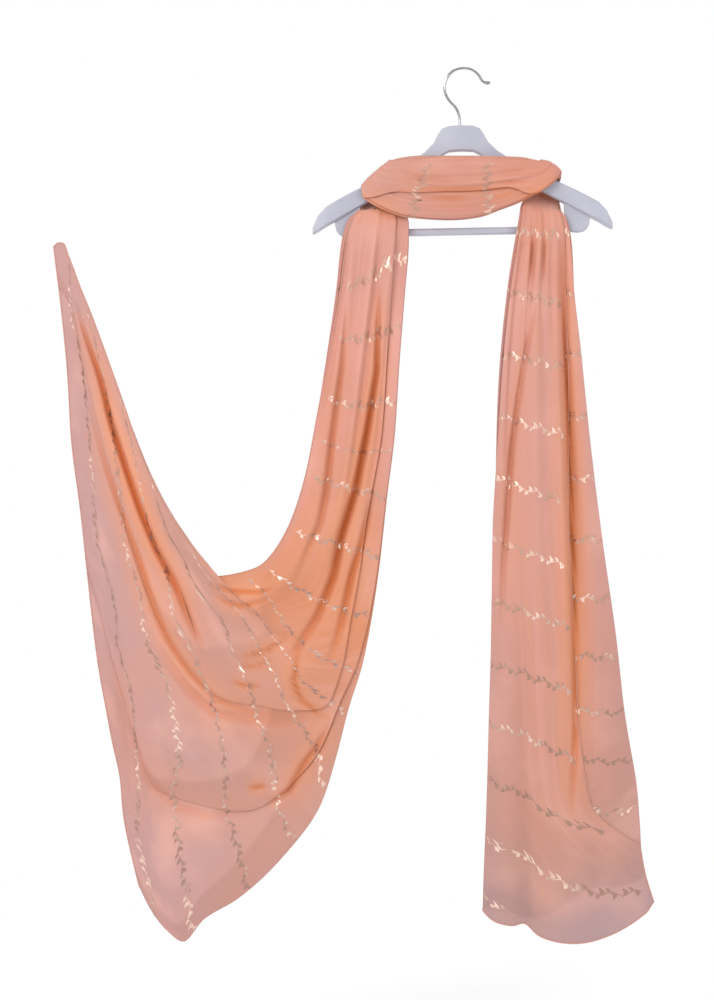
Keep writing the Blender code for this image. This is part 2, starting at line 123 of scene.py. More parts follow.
# The left end of the stole: sections from the hanger bar to the end hem, each between its selvedges.
LEFT_SECTIONS = [
    # along, upper_x, upper_z, lower_x, lower_z, front_y, bow, pitch
    (0, -162, -212, -75, -212, -22, 0, 1.9),
    (22, -169, -234, -75, -236, -23.5, 0, 2.0),
    (93, -178, -307, -81, -318, -26, 0, 2.1),
    (187, -191, -392, -88, -409, -26, 0, 2.2),
    (280, -205, -476, -94, -501, -26, 0, 2.2),
    (373, -219, -560, -105, -592, -26, 0, 2.2),
    (466, -246, -641, -115, -682, -28, 0, 2.2),
    (536, -284, -687, -125, -750, -31, 6, 2.2),
    (606, -341, -699, -138, -817, -33, 10, 2.2),
    (676, -379, -648, -158, -882, -31, 12, 2.2),
    (746, -412, -593, -175, -948, -27, 12, 2.0),
    (816, -440, -535, -196, -1013, -23, 14, 1.8),
    (909, -469, -454, -247, -1084, -18, 15, 1.5),
    (1003, -498, -374, -311, -1144, -14, 16, 1.3),
    (1048, -512, -337, -357, -1172, -12, 16, 1.1),
    (1084, -527, -301, -385, -1203, -11, 16, 1.0),
    (1125, -543, -259, -410, -1186, -10, 16, 0.9),
    (1148, -552, -240, -430, -1160, -10, 16, 0.8),
    (1158, -559, -241, -438, -1145, -10, 16, 0.8),
    (1166, -564, -246, -446, -1128, -10, 16, 0.8),
]

# Where each fold turns, as a share of the section, at each of these distances along it.
LEFT_FOLD_STATIONS = (0, 280, 420, 536, 606, 676, 746, 816, 909, 1003, 1084, 1166)
LEFT_FOLDS = {
    "upper selvedge": (0.10, 0.04, 0.01, 0.00, 0.00, 0.00, 0.00, 0.00, 0.00, 0.00, 0.00, 0.00),
    "cowl edge": (0.80, 0.84, 0.80, 0.84, 0.89, 0.915, 0.80, 0.70, 0.64, 0.50, 0.21, 0.06),
    "behind the cowl": (0.10, 0.08, 0.08, 0.10, 0.32, 0.51, 0.54, 0.53, 0.54, 0.45, 0.19, 0.04),
    "middle edge": (0.99, 0.99, 0.985, 0.98, 0.97, 0.955, 0.94, 0.91, 0.89, 0.83, 0.75, 0.50),
    "behind the middle": (0.05, 0.06, 0.08, 0.12, 0.36, 0.575, 0.69, 0.75, 0.80, 0.785, 0.735, 0.485),
    "low edge": (1.00, 1.00, 1.00, 1.00, 1.00, 1.00, 1.00, 1.00, 1.00, 1.00, 1.00, 1.00),
    "behind the low edge": (0.02, 0.04, 0.06, 0.10, 0.52, 0.715, 0.825, 0.885, 0.925, 0.95, 0.973, 0.968),
    "lower selvedge": (0.97, 0.97, 0.97, 0.97, 0.975, 0.98, 0.985, 0.985, 0.985, 0.99, 0.99, 0.99),
}

# The right end of the stole: sections from the hanger bar down to the end hem.
RIGHT_SECTIONS = [
    # along, left_x, left_z, right_x, right_z, front_y, bow, pitch
    (0, 75, -212, 143.5, -212, -22, 0, 2.1),
    (28, 70, -240, 149, -240, -22, 0, 2.1),
    (93, 60, -305, 153, -305, -23, 0, 2.1),
    (188, 50, -401, 162, -398, -24, 0, 2.2),
    (312, 42, -525, 175, -525, -25, 0, 2.3),
    (437, 36, -650, 191, -650, -26, 0, 2.3),
    (575, 36, -788, 210, -788, -26, 0, 2.3),
    (685, 34, -898, 222, -901, -25, 4, 2.2),
    (795, 31, -1008, 238, -1008, -24, 14, 2.2),
    (892, 27, -1106, 249, -1102, -23, 36, 2.2),
    (941, 26, -1146, 262, -1150, -22, 50, 2.2),
]
RIGHT_FOLD_STATIONS = (0, 190, 437, 690, 780, 865, 941)
RIGHT_FOLDS = {
    "front selvedge": (0.88, 0.84, 0.70, 0.66, 0.69, 0.995, 1.00),
    "left edge": (0.06, 0.04, 0.02, 0.00, 0.00, 0.00, 0.00),
    "right edge": (0.97, 1.00, 1.00, 1.00, 1.00, 0.99, 0.945),
    "left edge behind": (0.00, 0.00, 0.05, 0.07, 0.08, 0.09, 0.10),
    "right edge behind": (1.00, 0.97, 0.93, 0.93, 0.93, 0.92, 0.90),
    "third left edge": (0.05, 0.08, 0.16, 0.24, 0.27, 0.29, 0.30),
    "third right edge": (0.96, 0.90, 0.75, 0.60, 0.54, 0.49, 0.46),
    "back selvedge": (0.10, 0.14, 0.25, 0.30, 0.32, 0.33, 0.34),
}

# How much higher each of those folds has crept by the end hem, in millimetres, from this distance on.
RIGHT_CREEP_FROM = 400
RIGHT_CREEP = (-4, 0, 50, 10, 50, 28, 30, 30)

# In the left end the front layer's columns crowd together along its deepest crease, which lies this share of
# the way across that layer at each u.
CROWD_WIDTH = 0.07
CROWD_MORE = 3.0
CROWD_FADE = 60
CROWD_SAMPLES = 201
CROWDED = [
    # u, share
    (66, 0.45),
    (108, 0.37),
    (130, 0.42),
    (163, 0.47),
    (185, 0.53),
    (210, 0.58),
    (248, 0.64),
    (254, 0.80),
]

# The right hem's own waves: in the front layer, which hangs lowest, and in the shorter ones behind it.
FRONT_HEM_WAVES = [
    # centre, half_width, rise
    (0.04, 0.10, -13),
    (0.25, 0.055, 11),
    (0.60, 0.30, -3),
    (1.00, 0.025, 7),
]
BACK_HEM_WAVES = [
    (0.62, 0.20, 35),
]

# Near its fold with the front layer, within this share of the section, the cloth behind keeps that layer's
# wave.
HEM_FOLD_WIDTH = 0.08

# The left end's hem waves sideways, less and less away from the hem.
LEFT_HEM_REACH = 90
LEFT_HEM_WAVES = [
    # z, half_height, sideways
    (-509, 75, -4.5),
    (-905, 60, 4),
    (-975, 42, 6),
]

# The swag in front of the hanger, from the left arm to the right arm.
SWAG_SECTIONS = [
    # along, top_x, top_z, bottom_x, bottom_z, front_y, bow, pitch, lean
    (0, -95, -124.5, -139, -177, -18.2, 0, 1.5, 0),
    (20, -84, -122, -129, -186, -20, 2, 1.8, -6),
    (45, -68, -121, -112, -196, -22, 2, 2.0, -11),
    (80, -44, -121, -74, -208, -22, 0, 2.1, -13),
    (125, -14, -121, -20, -211, -22, 0, 2.1, -9),
    (160, 20, -121, 19, -207, -22, 0, 2.1, -5),
    (195, 53, -122, 51, -196, -22, 0, 2.1, -3),
    (225, 80, -122, 77, -186, -22, 0, 2.1, -2),
    (246, 95, -124, 92, -178, -22.5, 0, 2.05, 0),
    (260, 103, -126, 106, -171, -22.5, 0, 2.0, 0),
]
SWAG_FOLD_STATIONS = (0, 60, 130, 200, 260)
SWAG_FOLDS = {
    "back selvedge": (0.92, 0.90, 0.86, 0.88, 0.90),
    "back top edge": (0.05, 0.02, 0.01, 0.02, 0.06),
    "back bottom edge": (1.00, 1.00, 1.00, 1.00, 1.00),
    "top edge behind": (0.04, 0.00, 0.00, 0.00, 0.04),
    "bottom edge": (0.95, 0.97, 0.98, 0.97, 0.95),
    "behind the front": (0.08, 0.06, 0.04, 0.06, 0.08),
    "front edge": (0.99, 0.64, 0.56, 0.60, 0.99),
    "front selvedge": (0.08, 0.06, 0.03, 0.05, 0.08),
}

# The cloth's way over, behind and under each arm, between the swag and the hanging end: its ends, how far
# back its middle lies, and the direction from its outer layer to its inner one, from +Y towards +Z.
LEFT_WRAP_SECTIONS = [
    # along, upper_x, upper_z, lower_x, lower_z, middle_y, inward, bow, pitch
    (8, -97, -126, -140, -170, -12.5, -16, 1, 1.4),
    (16, -98.5, -128.5, -141, -165, -7, -58, 2, 1.35),
    (25, -98, -131.5, -141, -165, 0, -90, 2, 1.35),
    (34, -99, -135, -141, -166, 9, -118, 2, 1.35),
    (44, -99.5, -143, -141, -172, 15, -155, 0, 1.35),
    (54, -99, -154, -142, -182, 16.5, -180, 0, 1.35),
    (66, -97, -168, -143, -192, 15, -215, 0, 1.35),
    (79, -93, -178, -141, -198.5, 6, -250, 0, 1.35),
    (89, -87, -187, -141, -199.5, -6, -250, 0, 1.35),
    (96, -84, -192, -149, -199, -12.5, -220, 0, 1.4),
    (103, -80, -199, -156, -203, -14.5, -200, 0, 1.6),
]
RIGHT_WRAP_SECTIONS = [
    (8, 104, -127.5, 122, -160, -16, -13, -3, 1.9),
    (16, 104.5, -130.5, 133, -149.5, -12, -50, -5, 1.7),
    (25, 104, -132, 136.5, -147, 0, -90, -5, 1.7),
    (34, 102, -136, 136, -151, 11, -118, -5, 1.7),
    (44, 98, -146, 133, -161, 17.5, -155, -2, 1.8),
    (54, 96, -158, 133.5, -172, 18.5, -180, 0, 2.0),
    (66, 92, -170, 136, -186, 16.5, -215, 0, 2.0),
    (79, 86, -178, 137, -195, 6, -250, 0, 1.9),
    (89, 80, -187, 137, -199.5, -5, -250, 0, 1.9),
    (96, 78, -193, 138, -201, -11, -230, 0, 1.9),
    (103, 77, -200, 140.5, -204.5, -14, -205, 0, 2.0),
]

# Where the folds turn on top of each arm, this far from the swag.
ARM_TOP = 25
ARM_TOP_FOLDS = (0.90, 0.05, 0.97, 0.04, 0.95, 0.06, 1.00, 0.08)

# Relief, gathers and creases fade to nothing at both ends: these powers say how fast. Relief and creases also
# fade where the cloth turns from the front round the arms, by this power of the turn's cosine.
RELIEF_FADE = 0.5
CREASE_FADE = 0.6
TURN_FADE = 8

# Broad relief that every layer of a stretch follows, by u and by the share of the section: a trough's depth
# is positive, a ridge's negative.
RELIEF = [
    # start_u, start_across, end_u, end_across, half_width, depth
    (1226, 0.70, 546, 0.66, 0.065, 5.0),
    (1226, 0.48, 646, 0.54, 0.060, -5.0),
    (766, 0.74, 36, 0.80, 0.160, -24.0),
    (606, 0.40, 46, 0.66, 0.060, 6.0),
    (566, 0.22, 46, 0.50, 0.080, -11.0),
    (526, 0.05, -14, 0.28, 0.090, 9.0),
    (406, 0.97, -94, 0.70, 0.070, 8.0),
    (306, 0.30, -234, 0.20, 0.100, -9.0),
    (1298, 0.26, 1518, 0.34, 0.070, 2.0),
    (1318, 0.75, 1508, 0.74, 0.080, 2.5),
    (1308, 0.42, 1508, 0.44, 0.060, -3.0),
    (1590, 0.22, 2170, 0.14, 0.070, 5.0),
    (1590, 0.45, 2410, 0.40, 0.090, -8.0),
    (1590, 0.80, 2650, 0.70, 0.070, 7.0),
    (1990, 0.16, 3150, 0.12, 0.120, -9.0),
    (1990, 1.00, 3190, 1.00, 0.200, 11.0),
    (2210, 0.30, 3150, 0.34, 0.090, 8.0),
]

# Pleats gathered round the arms, that run on into the swag and the hanging ends: they stand away from the
# arm, and half_width is in millimetres.
GATHERS = [
    # start_u, start_across, end_u, end_across, half_width, height
    (700, 0.22, 1330, 0.14, 4.5, 4.9),
    (780, 0.47, 1300, 0.40, 4.5, 5.7),
    (960, 0.64, 1420, 0.58, 4.0, 4.3),
    (830, 0.90, 1290, 0.86, 4.0, 5.1),
    (1010, 0.08, 1480, 0.06, 3.5, 3.5),
    (1060, 0.33, 1560, 0.27, 4.0, 3.8),
    (1120, 0.77, 1600, 0.74, 4.0, 4.3),
    (1240, 0.48, 1620, 0.44, 3.5, 3.5),
    (1300, 0.90, 1700, 0.94, 4.5, 4.1),
    (1420, 0.17, 1990, 0.12, 4.0, 4.6),
    (1480, 0.64, 1830, 0.66, 4.0, 4.3),
    (1500, 0.36, 1850, 0.31, 3.5, 5.4),
    (1560, 0.53, 1800, 0.50, 3.5, 4.1),
    (1530, 0.84, 2120, 0.80, 4.0, 4.9),
    (1640, 0.05, 2060, 0.05, 4.5, 3.5),
]

# Over the arms the cloth is pulled tight and the gathers are this much lower.
ARM_PLACES = (LEFT_LENGTH + WRAP_LENGTH / 2, RIGHT_START - WRAP_LENGTH / 2)
ARM_CALM_REACH = 72
ARM_CALM = 0.85

# How far the drape has drawn the cloth along its length, in millimetres, at places in the XZ plane; the
# vines show it. Each place counts within about the reach, against the weight of cloth that isn't drawn.
DRAW_REACH = 40
UNDRAWN_WEIGHT = 0.08
DRAW_STEPS = 12
DRAW_EASE = 0.6
DRAWN = [
    # x, z, drawn
    (-524, -404, 3),
    (-515, -481, 6),
    (-508, -619, -13),
    (-475, -723, 37),
    (-453, -857, 41),
    (-446, -1001, 8),
    (-451, -1050, -17),
    (-514, -351, -24),
    (-468, -586, 4),
    (-464, -691, -18),
    (-432, -796, 11),
    (-402, -890, 30),
    (-396, -932, 24),
    (-402, -1017, -6),
    (-382, -1123, -15),
    (-373, -1185, -25),
    (-480, -425, 3),
    (-410, -750, -11),
    (-368, -821, 32),
    (-338, -905, 40),
    (-339, -952, 15),
    (-334, -1030, -13),
    (-319, -1086, -17),
    (-308, -1137, -28),
    (-421, -612, -20),
    (-377, -694, 27),
    (-326, -750, 90),
    (-298, -834, 70),
    (-266, -923, 46),
    (-264, -972, 16),
    (-264, -1030, -10),
    (-241, -1058, -7),
    (-204, -912, 34),
    (-200, -1003, 0),
    (-94, -254, -3),
    (-134, -291, -41),
    (-172, -313, -63),
    (-109, -343, -6),
    (-142, -383, -47),
    (-106, -438, -30),
    (-149, -467, -58),
    (-58, -187, -19),
    (-55, -139, -19),
    (30, -180, -14),
    (32, -139, -14),
    (-104, -150, -45),
    (112, -145, 32),
    (100, -186, 36),
    (118, -212, 36),
    (104, -240, 38),
]

# In the right end the front panel has dropped, most at its selvedge. This takes over within its first
# stretch.
RIGHT_DRAWN_WITHIN = 60
RIGHT_DRAWN = [
    # u, drawn, front_drop
    (1650, 36, 8),
    (1798, 33, 20),
    (1966, 37, 29),
    (2133, 36, 41),
    (2300, 37, 40),
    (2400, 24, 58),
    (2491, 14, 80),
    (2591, 6, 95),
]

# The painted shade at the bottom of a crease, a deep orange, is this much wider than the crease, and the
# warmer painted shade round it wider again. Round the arms this painted shade fades by this power of how its
# depth fades, so more slowly.
CREASE_SHADE_SPREAD = 1.35
HALO_SHADE_SPREAD = 5.0
CREASE_SHADE_SHOWN = 0.25

# The count of the layers at each point: in metres, how far a ray starts from the cloth and how far it goes,
# and how often the count is softened over the grid.
RAY_STEP = 0.0004
RAY_REACH = 0.06
BLUR_PASSES = 20

# The cloth's colour drifts along its length: partly its own tone, partly painted shade darkening the right
# end's hem.
TONES_AND_SHADE = [
    # u, red, green, blue
    (0, 0.55, 0.28, 0.235),
    (400, 0.62, 0.29, 0.205),
    (620, 0.67, 0.255, 0.13),
    (840, 0.66, 0.31, 0.25),
    (1000, 0.70, 0.34, 0.285),
    (1290, 0.60, 0.30, 0.24),
    (1530, 0.625, 0.26, 0.185),
    (1850, 0.65, 0.325, 0.275),
    (2190, 0.635, 0.305, 0.24),
    (2450, 0.58, 0.28, 0.215),
    (2591, 0.45, 0.265, 0.235),
]

# A single layer multiplies it by this.
THIN_TINT = (0.84, 0.95, 1.10, 1.0)

# Then these are mixed in, each up to its share as the value named goes from start to end.
TINTS = [
    # value, start, end, share, red, green, blue
    ("mottle", 0.50, 0.70, 0.55, 0.74, 0.40, 0.33),
    ("mottle", 0.50, 0.32, 0.30, 0.56, 0.27, 0.20),
    ("streak", 0.52, 0.68, 0.25, 0.76, 0.38, 0.33),
    ("streak", 0.48, 0.34, 0.23, 0.66, 0.29, 0.17),
    # painted shade: the warmer orange round each crease
    ("crease_halo_shade", 0.0, 0.8, 0.8, 0.69, 0.28, 0.15),
    # painted shade: the deep orange at the bottom of each crease
    ("crease", 0.1, 0.9, 0.95, 0.61, 0.165, 0.042),
]

# The right end's layers behind its front one get painted shade, darker from this u and this v on, in metres.
BEHIND_PAINTED_SHADE = (0.50, 0.255, 0.215, 1.0)
BEHIND_FROM_U = (1.75, 2.0)
BEHIND_FROM_V = (0.27, 0.33)

# The foil is darker on the spread-out ends than on the gathered stretches between them.
DULL_FOIL = [
    # u, red, green, blue
    (0, 0.37, 0.22, 0.18),
    (560, 0.37, 0.22, 0.18),
    (800, 0.50, 0.30, 0.23),
    (2050, 0.50, 0.30, 0.23),
    (2250, 0.37, 0.22, 0.17),
    (2591, 0.37, 0.22, 0.17),
]
BRIGHT_FOIL = (0.82, 0.58, 0.48, 1.0)
BUMP_HEIGHT = 0.0002

# Near the hanger's bar the relief is this much shallower, so that the cloth stays in front of it.
BAR_HEIGHT = -224
BAR_CALM_HEIGHT = 16
BAR_CALM = 0.65

# Creases where they show, as routes in the XZ plane: a trough's depth is positive, a ridge's negative. Each
# one's half-width grows from its first point to its last, and its tint is how strongly shade is painted into
# it and round it.
CREASES = {
    # name: (depth, tint, first_half_width, last_half_width, route of x, z)
    "left strand, left trough": (8, 0.5, 3, 5, [
        (-160, -318), (-166, -407), (-176, -476), (-181, -514), (-188, -580), (-197, -629), (-213, -661),
        (-229, -702),
    ]),
    "left strand, main trough": (14, 1.0, 3.5, 5.5, [
        (-117, -298), (-119, -417), (-132, -498), (-148, -580), (-168, -645), (-178, -698), (-200, -754),
        (-228, -797), (-247, -818),
    ]),
    "left strand, right trough": (8, 0.75, 3.5, 5, [
        (-124, -581), (-139, -650), (-154, -698), (-168, -765), (-184, -818),
    ]),
    "cowl, trough down from the tip": (14, 1.0, 3, 5, [
        (-531, -332), (-521, -365), (-500, -423), (-484, -489), (-461, -557), (-442, -612), (-422, -661),
        (-396, -710), (-377, -757), (-355, -804),
    ]),
    "cowl, ridge beside the trough": (-5, 0, 6, 14, [
        (-529, -305), (-501, -380), (-466, -470), (-418, -581), (-370, -677), (-324, -760),
    ]),
    "cowl, second trough": (6, 0.6, 3, 6, [
        (-518, -456), (-497, -532), (-471, -608), (-446, -677), (-424, -746), (-404, -790), (-375, -832),
        (-339, -868), (-297, -884), (-246, -892), (-200, -894),
    ]),
    "cowl, under the lower fold": (8, 0.35, 7, 7, [
        (-432, -774), (-407, -815), (-377, -855), (-341, -887), (-295, -895), (-246, -901), (-200, -901),
    ]),
    "cowl, rim": (5, 0.7, 3, 3, [(-349, -712), (-315, -719), (-277, -720), (-255, -713)]),
    "cowl, second rim fold": (4, 0.6, 3, 3, [
        (-344, -721), (-324, -735), (-306, -739), (-286, -735), (-264, -728),
    ]),
    "cowl, first wrinkle": (4.5, 0.6, 2.5, 2.5, [(-310, -812), (-277, -803), (-239, -782)]),
    "cowl, second wrinkle": (3.5, 0.5, 2.5, 2.5, [(-313, -822), (-286, -822), (-258, -811)]),
    "cowl, third wrinkle": (4, 0.55, 2.5, 3, [(-322, -840), (-298, -850), (-275, -847)]),
    "cowl, side fold": (5, 0.7, 2.5, 3.5, [
        (-220, -780), (-229, -810), (-232, -845), (-223, -868), (-202, -885), (-180, -899),
    ]),
    "low right fold": (8, 0.6, 4, 4, [(-182, -901), (-200, -931), (-223, -964), (-239, -993), (-272, -1017)]),
    "low short fold": (5, 0.6, 2.5, 3, [(-299, -992), (-269, -988)]),
    "low sweep": (6, 0.25, 8, 6, [
        (-471, -870), (-455, -932), (-432, -984), (-395, -1017), (-352, -1030), (-277, -1025),
    ]),
    "hem, left wave": (5, 0.2, 9, 6, [(-484, -788), (-471, -870), (-462, -953), (-454, -1008)]),
    "hem, lower wave": (-5, 0, 10, 12, [(-432, -857), (-411, -953), (-396, -1050), (-384, -1146)]),
    "swag, main fold": (1.2, 0.5, 1.4, 1.8, [
        (-112, -173), (-94, -171), (-60, -170), (-10, -169.5), (30, -168.5), (62, -166), (86, -167),
        (110, -172),
    ]),
    "swag, upper pleat": (2.0, 0.2, 3, 3, [(-99, -153), (-55, -153), (-10, -156)]),
    "swag, right pleat": (2.4, 0.3, 2.5, 3, [(28, -160), (61, -159), (95, -157)]),
    "swag, lower pleat": (2.4, 0.35, 2.5, 3, [(-57, -179), (-21, -181), (12, -180)]),
    "swag, low right pleat": (2.0, 0.35, 2, 3, [(26, -182), (51, -178), (79, -169)]),
    "right strand, right trough": (9, 1.0, 3, 4.5, [
        (138, -219), (141, -374), (146, -498), (150, -650), (153, -788), (154, -898), (151, -968),
        (147, -1032),
    ]),
    "right strand, ridge by the trough": (-5, 0, 6, 9, [
        (128, -360), (132, -498), (137, -650), (138, -788), (139, -953),
    ]),
    "right strand, left trough": (8, 0.38, 3, 4, [
        (102, -298), (92, -360), (81, -415), (75, -456), (66, -525), (61, -594), (55, -677), (51, -774),
    ]),
    # These two are mostly painted shadow where the arm and the swag shade the strands' tops, with hardly any
    # crease.
    "right strand, painted shadow under the arm": (1, 0.7, 4, 4, [
        (76, -193), (84, -183), (98, -177), (112, -178), (128, -188), (141, -203),
    ]),
    "left strand, painted shadow under the swag": (1, 0.6, 4, 4, [
        (-158, -205), (-147, -198), (-134, -190), (-118, -196), (-98, -205), (-80, -210),
    ]),
    "right strand, short top trough": (5, 0.35, 2.5, 3, [(94, -201), (95, -249), (94, -305)]),
    "right strand, second top trough": (4, 0.35, 2.5, 3, [(110, -194), (110, -249), (108, -298)]),
}


def pchip_slopes(stations, values):
    """Slopes at the stations that keep each curve between its stations' values."""
    step = np.diff(stations)[:, None]
    rise = np.diff(values, axis=0) / step
    slopes = np.empty_like(values)
    slopes[0] = rise[0]
    slopes[-1] = rise[-1]
    before, after = rise[:-1], rise[1:]
    first = 2 * step[1:] + step[:-1]
    second = step[1:] + 2 * step[:-1]
    same_way = before * after > 0
    safe_before = np.where(same_way, before, 1.0)
    safe_after = np.where(same_way, after, 1.0)
    mean = (first + second) / (first / safe_before + second / safe_after)
    slopes[1:-1] = np.where(same_way, mean, 0.0)
    return slopes


def smooth_between(stations, values, place):
    """The values at each place, on smooth curves through the stations."""
    stations = np.asarray(stations, float)
    values = np.asarray(values, float)
    slopes = pchip_slopes(stations, values)
    left = np.clip(np.searchsorted(stations, place, side="right") - 1, 0, len(stations) - 2)
    span = (stations[left + 1] - stations[left])[:, None]
    part = (place - stations[left])[:, None] / span
    start_share = 2 * part**3 - 3 * part**2 + 1
    start_slope = part**3 - 2 * part**2 + part
    end_slope = part**3 - part**2
    return (
        start_share * values[left]
        + (1 - start_share) * values[left + 1]
        + span * (start_slope * slopes[left] + end_slope * slopes[left + 1])
    )


def stole_sections():
    """One table of sections for the whole stole: u, start x and z, end x and z, middle y, lean, inward, bow
    spread evenly, bow low down, pitch."""
    half = (LAYERS - 1) / 2
    rows = []
    for along, upper_x, upper_z, lower_x, lower_z, front, bow, pitch in reversed(LEFT_SECTIONS):
        ends = (lower_x, lower_z, upper_x, upper_z)
        rows.append((LEFT_LENGTH - along, *ends, front + half * pitch, 0, -180, 0, -bow, pitch))
    for along, *ends, middle, inward, bow, pitch in reversed(LEFT_WRAP_SECTIONS):
        rows.append((SWAG_START - along, *ends, middle, 0, inward, bow, 0, pitch))
    for along, *ends, front, bow, pitch, lean in SWAG_SECTIONS:
        rows.append((SWAG_START + along, *ends, front + half * pitch, lean, 0, bow, 0, pitch))
    for along, *ends, middle, inward, bow, pitch in RIGHT_WRAP_SECTIONS:
        rows.append((SWAG_END + along, *ends, middle, 0, inward, bow, 0, pitch))
    for along, *ends, front, bow, pitch in RIGHT_SECTIONS:
        rows.append((RIGHT_START + along, *ends, front + half * pitch, 0, -180, bow, 0, pitch))
    return np.array(rows, float)


def stole_turns():
    """Where the folds turn at each of the stole's fold stations, from the inner layer's selvedge outwards."""
    tables = (LEFT_FOLDS, SWAG_FOLDS, RIGHT_FOLDS)
    left, swag, right = (np.array(list(folds.values())).T for folds in tables)
    places = np.concatenate([
        LEFT_LENGTH - np.array(LEFT_FOLD_STATIONS[::-1]),
        [SWAG_START - ARM_TOP],
        SWAG_START + np.array(SWAG_FOLD_STATIONS),
        [SWAG_END + ARM_TOP],
        RIGHT_START + np.array(RIGHT_FOLD_STATIONS),
    ])
    return places, np.vstack([1 - left[::-1], ARM_TOP_FOLDS, swag, ARM_TOP_FOLDS, right])


def row_places():
    """Where the mesh's rows lie along the stole."""
    places = [np.linspace(start, end, count, endpoint=False) for start, end, count in ROW_STRETCHES]
    return np.concatenate(places + [[WHOLE_LENGTH]])


def bell(away, half_width):
    """1 in the middle, falling smoothly to nothing at about two half-widths away."""
    return np.exp(-((away / half_width) ** 2))


def crowded_steps(places, steps):
    """How far across the front layer each of its columns lies, closer together along its deepest crease."""
    table = np.array(CROWDED, float)
    crease = np.interp(places, table[:, 0], table[:, 1])
    beyond = np.maximum(table[0, 0] - places, places - table[-1, 0])
    more = CROWD_MORE * np.clip(1 - beyond / CROWD_FADE, 0, 1)
    shares = np.linspace(0, 1, CROWD_SAMPLES)
    density = 1 + more[:, None] * bell(shares - crease[:, None], CROWD_WIDTH)
    reached = np.cumsum(density, axis=1) - density
    wanted = np.arange(1, steps + 1) / steps
    return np.array([np.interp(wanted, row / row[-1], shares) for row in reached])


def zigzags(places, turns, chord, pitch):
    """The layered sections of every row at once: how far across (0 to 1) and how deep each point lies, and
    the columns where the folds turn."""
    across = [turns[:, 0]]
    depth = [np.zeros(len(turns))]
    turn_columns = [0]
    for layer in range(LAYERS):
        steps = LAYER_STEPS[layer]
        start = across[-1]
        end = turns[:, layer + 1]
        heading = np.where(end > turns[:, layer], 1.0, -1.0)
        last = layer == LAYERS - 1
        if last:
            opened = np.zeros(len(turns))
            reach = np.zeros(len(turns))
        else:
            ahead = (turns[:, layer + 2] - end) * heading * chord
            opened = 0.5 + 0.5 * np.tanh(ahead / FOLD_TURNOVER)
            reach = (pitch / 2 * (1 - opened) + OPEN_FOLD_REACH * opened) / chord
        stop = end - heading * reach
        shares = np.arange(1, steps + 1)[None, :] / (steps + (1 if last else 0))
        if layer == 0:
            shares = crowded_steps(places, steps)
        for share in shares.T:
            across.append(start + (stop - start) * share)
            depth.append(layer * pitch)
        if last:
            across.append(end)
            depth.append(layer * pitch)
        else:
            across += [end, end, end + heading * reach * (2 * opened - 1)]
            depth += [(layer + part) * pitch for part in (FOLD_CORNER, 1 - FOLD_CORNER, 1)]
        turn_columns.append(len(across) - (1 if last else 3))
    return refined(np.array(across).T), refined(np.array(depth).T), 2 * np.array(turn_columns)


def refined(values):
    """The rows' values on a smooth curve with a point between each two."""
    fine = np.empty((values.shape[0], 2 * values.shape[1] - 1))
    fine[:, ::2] = values
    fine[:, 2:-2:2] = (values[:, :-2] + 6 * values[:, 1:-1] + values[:, 2:]) / 8
    fine[:, 1::2] = (values[:, :-1] + values[:, 1:]) / 2
    return fine


def distance_to_route(x, z, route):
    """Each point's distance from a route in the XZ plane, and how far along the route it lies (0 to 1)."""
    route = np.array(route, float)
    lengths = np.linalg.norm(np.diff(route, axis=0), axis=1)
    reached = np.concatenate([[0], np.cumsum(lengths)])
    best = np.full(x.shape, np.inf)
    along = np.zeros(x.shape)
    for (x0, z0), (x1, z1), length, start in zip(route[:-1], route[1:], lengths, reached):
        part = ((x - x0) * (x1 - x0) + (z - z0) * (z1 - z0)) / length**2
        part = np.clip(part, 0, 1)
        away = np.hypot(x - x0 - part * (x1 - x0), z - z0 - part * (z1 - z0))
        nearer = away < best
        best = np.where(nearer, away, best)
        along = np.where(nearer, (start + part * length) / reached[-1], along)
    return best, along


def band(places, start, start_across, end, end_across, fade):
    """Where across each row the middle of a band lies, and how strong the band is there."""
    part = np.clip((places - start) / (end - start), 0, 1)
    centre = start_across + (end_across - start_across) * part
    return centre[:, None], np.sin(np.pi * part)[:, None] ** fade


def broad_relief(places, across):
    """How far back the broad relief pushes each point."""
    pushed = np.zeros_like(across)
    for *route, half_width, depth in RELIEF:
        centre, strength = band(places, *route, RELIEF_FADE)
        pushed += depth * strength * bell(across - centre, half_width)
    return pushed


def gathered(places, across, chord):
    """How far the gathers stand out from the arms at each point."""
    height = np.zeros_like(across)
    for *route, half_width, tall in GATHERS:
        centre, strength = band(places, *route, CREASE_FADE)
        height += tall * strength * bell((across - centre) * chord, half_width)
    for place in ARM_PLACES:
        height *= 1 - ARM_CALM * np.exp(-(((places - place) / ARM_CALM_REACH) ** 4))[:, None]
    return height


def creased(x, z, hanging):
    """How far back the creases push the cloth, and the shade painted at each point: deep in a crease, warmer
    near one.
    """
    pushed = np.zeros_like(x)
    crease_shade = np.zeros_like(x)
    crease_halo_shade = np.zeros_like(x)
    for depth, tint, first_width, last_width, route in CREASES.values():
        away, along = distance_to_route(x, z, route)
        width = first_width + (last_width - first_width) * along
        strength = np.sin(np.pi * np.clip(along, 0, 1)) ** CREASE_FADE
        pushed += depth * strength * bell(away, width)
        crease_shade = np.maximum(crease_shade, tint * strength * bell(away, CREASE_SHADE_SPREAD * width))
        crease_halo_shade = np.maximum(crease_halo_shade, tint * strength * bell(away, HALO_SHADE_SPREAD * width))
    shown = hanging**CREASE_SHADE_SHOWN
    return pushed * hanging, crease_shade * shown, crease_halo_shade * shown


def waved(waves, places):
    """How far the waves move the cloth at each place."""
    return sum(moved * bell(places - centre, half_width) for centre, half_width, moved in waves)


def left_hem_waved(places, z):
    """How far sideways the waves of the left end's hem move each point."""
    return waved(LEFT_HEM_WAVES, z) * bell(places, LEFT_HEM_REACH)[:, None]


